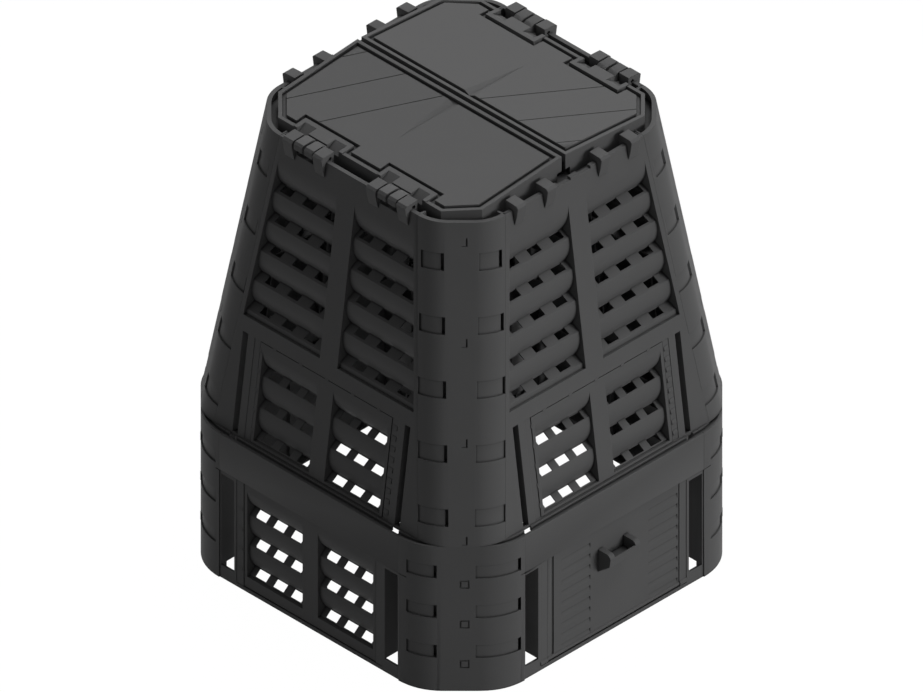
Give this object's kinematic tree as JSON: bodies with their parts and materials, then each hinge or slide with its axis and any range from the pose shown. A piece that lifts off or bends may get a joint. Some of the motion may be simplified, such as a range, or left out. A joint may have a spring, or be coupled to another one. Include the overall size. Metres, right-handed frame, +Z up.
{
  "type": "compost bin with lid",
  "caption": "Square tapered compost bin with louvred walls, clip-in vents, drop-down hatches and a two-flap hinged lid.",
  "frame": {"origin": "centre of the base ring, on the ground", "axes": "+Z up, -Y is the front with the hatch that the picture shows, X runs across the split of the lid"},
  "size_m": [0.8, 0.858, 1.0056],
  "materials": {
    "ring_plastic": "moulded black polypropylene, fine grain",
    "shell_plastic": "moulded black polypropylene, fine grain",
    "insert_plastic": "moulded black polypropylene, fine grain",
    "lid_plastic": "moulded black polypropylene, fine grain"
  },
  "bodies": {
    "shell": {"base_wall_front": "ring_plastic", "base_wall_right": "ring_plastic", "base_wall_rear": "ring_plastic", "base_wall_left": "ring_plastic", "base_corner_front_left": "ring_plastic", "base_corner_front_right": "ring_plastic", "base_corner_rear_right": "ring_plastic", "base_corner_rear_left": "ring_plastic", "upper_wall_front": "shell_plastic", "upper_wall_right": "shell_plastic", "upper_wall_rear": "shell_plastic", "upper_wall_left": "shell_plastic", "upper_corner_front_left": "shell_plastic", "upper_corner_front_right": "shell_plastic", "upper_corner_rear_right": "shell_plastic", "upper_corner_rear_left": "shell_plastic", "mid_vent_front": "insert_plastic", "mid_vent_right": "insert_plastic", "mid_vent_rear": "insert_plastic", "mid_vent_left": "insert_plastic", "base_vent_right": "insert_plastic", "base_vent_left": "insert_plastic"},
    "front_hatch": {"hatch_front": "insert_plastic"},
    "rear_hatch": {"hatch_rear": "insert_plastic"},
    "left_flap": {"lid_left": "lid_plastic"},
    "right_flap": {"lid_right": "lid_plastic"}
  },
  "joints": [
    {"name": "front_hatch_hinge", "type": "hinge", "parent": "shell", "child": "front_hatch", "pos_m": [0, -0.394, 0.0145], "axis": [1, 0, 0], "range_deg": [0, 78]},
    {"name": "rear_hatch_hinge", "type": "hinge", "parent": "shell", "child": "rear_hatch", "pos_m": [0, 0.394, 0.0145], "axis": [-1, 0, 0], "range_deg": [0, 78]},
    {"name": "left_flap_hinge", "type": "hinge", "parent": "shell", "child": "left_flap", "pos_m": [-0.28598, 0, 0.978], "axis": [0, -1, 0], "range_deg": [0, 105]},
    {"name": "right_flap_hinge", "type": "hinge", "parent": "shell", "child": "right_flap", "pos_m": [0.28598, 0, 0.978], "axis": [0, 1, 0], "range_deg": [0, 105]}
  ]
}
